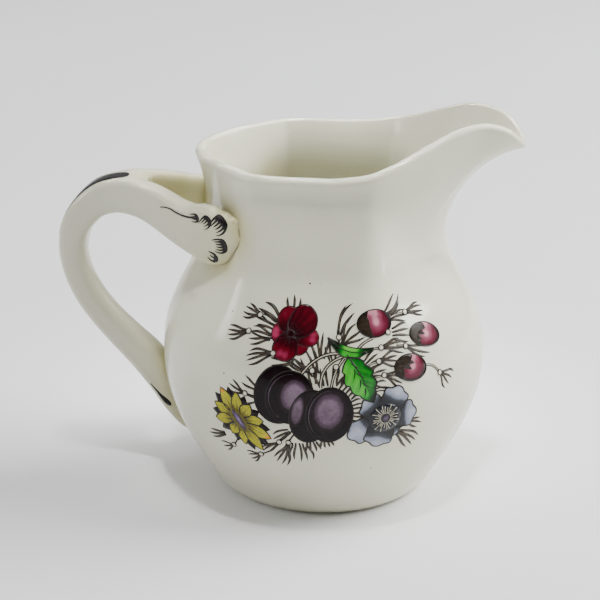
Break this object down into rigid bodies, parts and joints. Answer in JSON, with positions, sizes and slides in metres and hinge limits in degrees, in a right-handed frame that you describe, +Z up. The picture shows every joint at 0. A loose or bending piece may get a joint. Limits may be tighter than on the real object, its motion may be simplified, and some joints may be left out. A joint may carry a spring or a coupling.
{
  "type": "cream jug",
  "caption": "Small glazed cream jug with a rounded bowl, softly six-sided neck, pulled pouring spout and a forked loop handle; painted flowers and fruit on one side.",
  "frame": {"origin": "on the surface that the jug stands on, below the middle of the whole jug's box; the bowl's axis is 10 mm along +X from it", "axes": "+Z up, +X towards the spout along the spout and handle line, -Y towards the decorated side"},
  "size_m": [0.123, 0.0856, 0.1029],
  "materials": {
    "glaze": "glossy ivory-white ceramic glaze",
    "slip": "glazed slip where the handle is stuck on",
    "crimson_enamel": "glossy crimson enamel over a brown print",
    "plum_enamel": "glossy purple-black enamel",
    "yellow_enamel": "glossy yellow enamel",
    "blue_grey_enamel": "glossy blue-grey enamel",
    "green_enamel": "glossy green enamel",
    "bud_enamel": "glossy pink and dark red enamel",
    "brown_black_enamel": "glossy brown-black painted line"
  },
  "bodies": {
    "root": {"body": "glaze", "handle": "glaze", "front_slip_seam": "slip", "back_slip_seam": "slip", "tail_slip_seam": "slip", "red_flower": "crimson_enamel", "plums": "plum_enamel", "yellow_flower": "yellow_enamel", "blue_flower": "blue_grey_enamel", "large_leaf": "green_enamel", "small_leaf": "green_enamel", "left_bud": "bud_enamel", "right_bud": "bud_enamel", "lower_bud": "bud_enamel", "spine_stroke": "brown_black_enamel", "tail_stroke": "brown_black_enamel"}
  },
  "joints": []
}
